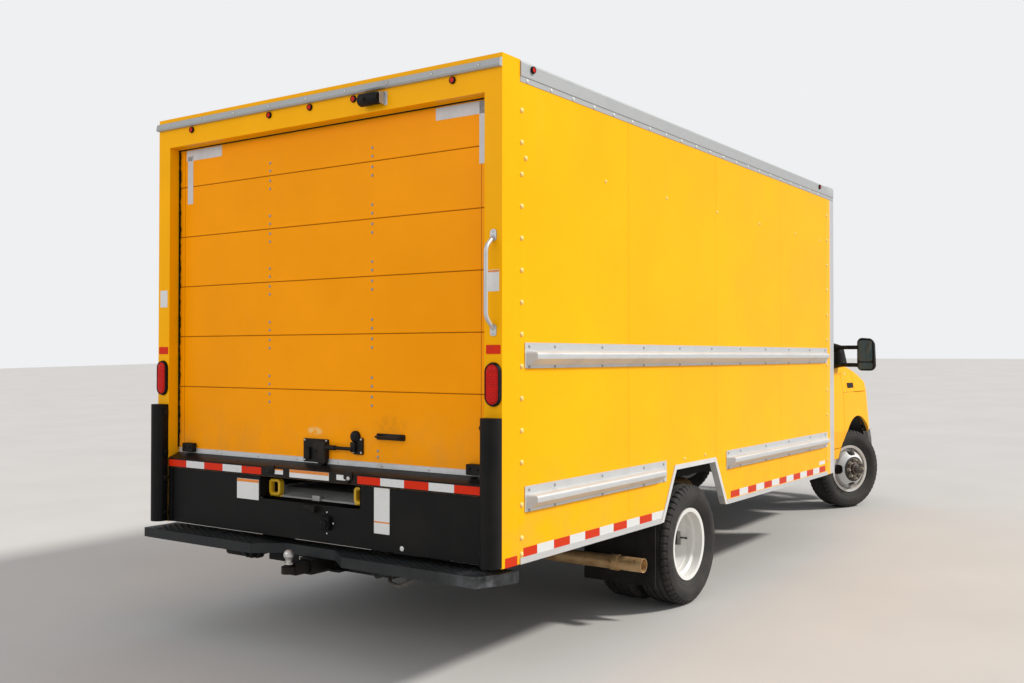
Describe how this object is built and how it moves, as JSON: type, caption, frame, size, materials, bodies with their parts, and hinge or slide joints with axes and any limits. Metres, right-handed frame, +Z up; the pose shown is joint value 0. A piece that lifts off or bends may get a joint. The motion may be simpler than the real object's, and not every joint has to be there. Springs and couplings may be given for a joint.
{
  "type": "box truck",
  "caption": "Single-axle box truck with dual rear wheels, a cutaway cab, a roll-up rear door, a step bumper and a slide-out loading ramp.",
  "frame": {"origin": "on the ground, below the middle of the truck's overall box", "axes": "+X forward, +Y to the truck's left, +Z up"},
  "size_m": [6.9111, 2.68, 2.8409],
  "materials": {
    "body_yellow": "gloss paint",
    "chassis_black": "matt paint, dusty",
    "cast_grey": "rough",
    "tyre": "matt",
    "wheel_white": "gloss paint",
    "pipe_steel": "heat-tanned",
    "tank_steel": "satin",
    "flap_rubber": "matt",
    "deck_steel": "matt",
    "wall_white": "gloss paint",
    "rail_aluminium": "satin",
    "apron_black": "textured",
    "ramp_aluminium": "worn",
    "hardware_black": "satin",
    "step_black": "worn paint",
    "fittings_silver": "satin",
    "lamp_red": "clear over red",
    "window_glass": "clear",
    "trim_black": "grained",
    "bumper_grey": "satin",
    "cabin_vinyl": "grained"
  },
  "bodies": {
    "chassis": {"frame_rails": "chassis_black", "powertrain": "cast_grey", "front_axle": "chassis_black", "rear_axle": "chassis_black", "exhaust": "pipe_steel", "fuel_tank": "tank_steel", "mud_flaps": "flap_rubber", "deck": "deck_steel", "side_walls": "body_yellow", "wall_front": "wall_white", "roof": "wall_white", "roof_rails": "rail_aluminium", "rear_frame": "body_yellow", "apron_guards": "apron_black", "rollup_door": "body_yellow", "door_lock": "hardware_black", "side_rails": "rail_aluminium", "step_bumper": "step_black", "tow_hitch": "step_black", "rear_fittings": "fittings_silver", "lamps": "lamp_red", "cab_shell": "body_yellow", "windscreen": "window_glass", "grille": "trim_black", "front_bumper": "bumper_grey", "cabin_fittings": "cabin_vinyl"},
    "door_left": {"door_left": "body_yellow", "door_glass_left": "window_glass", "mirror_left": "trim_black"},
    "door_right": {"door_right": "body_yellow", "door_glass_right": "window_glass", "mirror_right": "trim_black"},
    "hood": {"hood": "body_yellow"},
    "knuckle_left": {"knuckle_left": "cast_grey"},
    "knuckle_right": {"knuckle_right": "cast_grey"},
    "tie_rod": {"tie_rod": "chassis_black"},
    "wheel_front_left": {"wheel_front_left": "wheel_white", "tyre_front_left": "tyre"},
    "wheel_front_right": {"wheel_front_right": "wheel_white", "tyre_front_right": "tyre"},
    "wheels_rear_left": {"wheels_rear_left": "wheel_white", "tyres_rear_left": "tyre"},
    "wheels_rear_right": {"wheels_rear_right": "wheel_white", "tyres_rear_right": "tyre"},
    "ramp": {"ramp": "ramp_aluminium"}
  },
  "joints": [
    {"name": "door_left_hinge", "type": "hinge", "parent": "chassis", "child": "door_left", "pos_m": [2.31366, 0.966, 0.94114], "axis": [-0.0209, 0, -0.9998], "range_deg": [0, 65]},
    {"name": "door_right_hinge", "type": "hinge", "parent": "chassis", "child": "door_right", "pos_m": [2.31366, -0.966, 0.94114], "axis": [0.0209, 0, 0.9998], "range_deg": [0, 65]},
    {"name": "hood_hinge", "type": "hinge", "parent": "chassis", "child": "hood", "pos_m": [2.65692, 0, 1.33204], "axis": [0, -1, 0], "range_deg": [0, 50]},
    {"name": "steer_right", "type": "hinge", "parent": "chassis", "child": "knuckle_right", "pos_m": [2.69641, -0.746, 0.352], "axis": [0.0209, 0, 0.9998], "range_deg": [-8, 62]},
    {"name": "steer_left", "type": "hinge", "parent": "chassis", "child": "knuckle_left", "pos_m": [2.69641, 0.746, 0.352], "axis": [0.0209, 0, 0.9998], "range_deg": [-8, 62]},
    {"name": "tie_rod_end", "type": "hinge", "parent": "knuckle_right", "child": "tie_rod", "pos_m": [2.8483, -0.80889, 0.2368], "axis": [0.0209, 0, 0.9998], "range_deg": [-62, 8]},
    {"name": "wheel_front_left_spin", "type": "hinge", "parent": "knuckle_left", "child": "wheel_front_left", "pos_m": [2.74453, 0.84045, 0.35099], "axis": [0.4539, 0.891, -0.0095], "continuous": true},
    {"name": "wheels_rear_left_spin", "type": "hinge", "parent": "chassis", "child": "wheels_rear_left", "pos_m": [-1.31747, 1.067, 0.352], "axis": [0, 1, 0], "continuous": true},
    {"name": "wheel_front_right_spin", "type": "hinge", "parent": "knuckle_right", "child": "wheel_front_right", "pos_m": [2.6483, -0.84045, 0.35301], "axis": [0.4539, 0.891, -0.0095], "continuous": true},
    {"name": "wheels_rear_right_spin", "type": "hinge", "parent": "chassis", "child": "wheels_rear_right", "pos_m": [-1.31747, -1.067, 0.352], "axis": [0, 1, 0], "continuous": true},
    {"name": "ramp_slide", "type": "slide", "parent": "chassis", "child": "ramp", "axis": [-0.9998, 0, 0.0209], "range_m": [0, 2.6]}
  ],
  "couplings": [
    {"joint": "steer_left", "follows": "steer_right", "ratio": 1},
    {"joint": "tie_rod_end", "follows": "steer_right", "ratio": -1}
  ]
}
